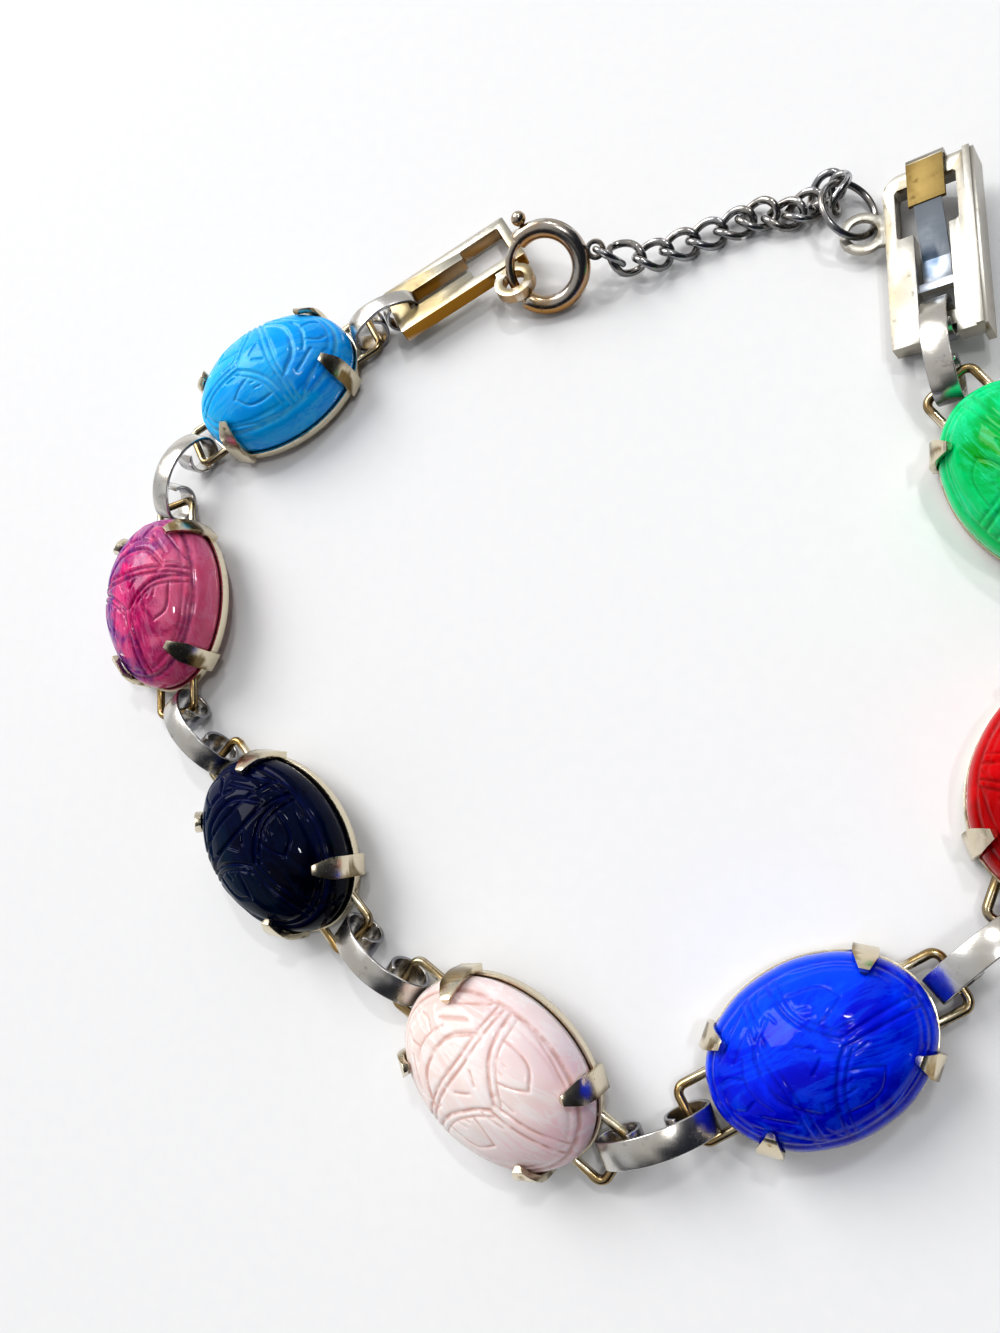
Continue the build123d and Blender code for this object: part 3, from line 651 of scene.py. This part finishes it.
# Strap links, clasp, spring ring and chain: (node, finish, slot, edge_round)
METAL_PIECES = [(f"strap_link_{number}", "satin", "satin_metal", PLATE_EDGE) for number in range(1, 9)]
METAL_PIECES += [
    ("catch_plate", "champagne", "gilt_metal", PLATE_EDGE),
    ("spring_ring", "ring", "dark_silver", RING_EDGE),
    ("ring_loop", "dark", "dark_silver", 0),
    ("jump_ring", "dark", "dark_silver", 0),
]
for node, finish, slot, edge_round in METAL_PIECES:
    rounded_metal(node, METALS[finish], edge_round)
for number in range(1, 11):
    rounded_metal(f"chain_link_{number}", METALS["dark"], 0, swell=CHAIN_SWELL)
clasp_piece = rounded_metal("clasp_frame", METALS["clasp_plate"], PLATE_EDGE)
gild_hook(clasp_piece, METALS["matte_gold"], METALS["neck_blue_reflection"])
rounded_metal("spring_bolt", METALS["ring"], 0, body="bolt")

# Camera
camera_data = bpy.data.cameras.new("camera")
camera_data.sensor_fit = "AUTO"
camera_data.sensor_width = CAMERA_LONG_SIDE
camera_data.lens = CAMERA_LENS
camera_data.clip_start = 0.001
camera_data.clip_end = 20.0
camera = bpy.data.objects.new("camera", camera_data)
bpy.context.scene.collection.objects.link(camera)
backward = (Vector(CAMERA_PLACE) - Vector(CAMERA_TARGET)).normalized()
rightward = Vector(CAMERA_UP).cross(backward).normalized()
upward = backward.cross(rightward)
turned = Matrix((rightward, upward, backward)).transposed().to_4x4()
camera.matrix_world = Matrix.Translation(Vector(CAMERA_PLACE) * MM) @ turned
bpy.context.scene.camera = camera

# Floor and lights
FLOOR_SIZE = 3.0
floor_form = bmesh.new()
bmesh.ops.create_grid(floor_form, x_segments=8, y_segments=8, size=FLOOR_SIZE)
floor_mesh = bpy.data.meshes.new("floor")
floor_form.to_mesh(floor_mesh)
floor_form.free()
floor = bpy.data.objects.new("floor", floor_mesh)
bpy.context.scene.collection.objects.link(floor)
floor_material, floor_tree, floor_shader = bare_material("pale_floor")
floor_place = floor_tree.nodes.new("ShaderNodeTexCoord").outputs["Object"]
floor_grain = noise(floor_tree, floor_place, 900.0, 3.0)
floor_colour = blended(floor_tree, floor_grain, linear(238, 239, 240), linear(243, 243, 243))
joined(floor_tree, floor_colour, floor_shader.inputs["Base Color"])
floor_shader.inputs["Roughness"].default_value = 0.7
floor_mesh.materials.append(floor_material)


def soft_light(name, place, size, power, shade):
    """A rectangular light that points at the bracelet's middle."""
    light = bpy.data.lights.new(name, "AREA")
    light.shape = "RECTANGLE"
    light.size, light.size_y = size
    light.energy = power
    light.color = shade
    holder = bpy.data.objects.new(name, light)
    bpy.context.scene.collection.objects.link(holder)
    turned_down = (-Vector(place)).to_track_quat("-Z", "Y").to_matrix().to_4x4()
    holder.matrix_world = Matrix.Translation(Vector(place)) @ turned_down


soft_light("window", (-1.1, 1.0, 1.3), (1.2, 1.2), 33.0, (1.0, 0.99, 0.98))
soft_light("lamp_high", (0.14, 0.36, 0.62), (0.08, 0.024), 0.8, (1.0, 1.0, 1.0))
soft_light("lamp_low", (0.24, 0.02, 0.6), (0.07, 0.02), 0.6, (1.0, 1.0, 1.0))

# Room: pale towards the window and dark away from it, for the metal to mirror, with a pale backdrop
BRIGHT_SIDE = (-0.55, 0.62, 0.56)
DARK_ROOM = (0.03, 0.035, 0.05, 1)
PALE_ROOM = (0.74, 0.74, 0.75, 1)
BACKDROP = (0.8, 0.8, 0.81, 1)
room = bpy.data.worlds.new("room")
bpy.context.scene.world = room
room.use_nodes = True
room_tree = room.node_tree
room_light = room_tree.nodes["Background"]
look = room_tree.nodes.new("ShaderNodeTexCoord").outputs["Generated"]
towards = room_tree.nodes.new("ShaderNodeVectorMath")
towards.operation = "DOT_PRODUCT"
towards.inputs[1].default_value = BRIGHT_SIDE
joined(room_tree, look, towards.inputs[0])
patches = worked(room_tree, "SUBTRACT", noise(room_tree, look, 2.2, 2.0), 0.5)
blotches = worked(room_tree, "MULTIPLY", patches, 1.3)
share = stepped(room_tree, worked(room_tree, "ADD", towards.outputs["Value"], blotches), -0.05, 0.4)
mirrored = blended(room_tree, share, DARK_ROOM, PALE_ROOM)
seen = room_tree.nodes.new("ShaderNodeLightPath").outputs["Is Camera Ray"]
joined(room_tree, blended(room_tree, seen, mirrored, BACKDROP), room_light.inputs["Color"])
room_light.inputs["Strength"].default_value = 1.0

view = bpy.context.scene.view_settings
view.view_transform = "Standard"
view.look = "Medium High Contrast"
view.exposure = -0.52
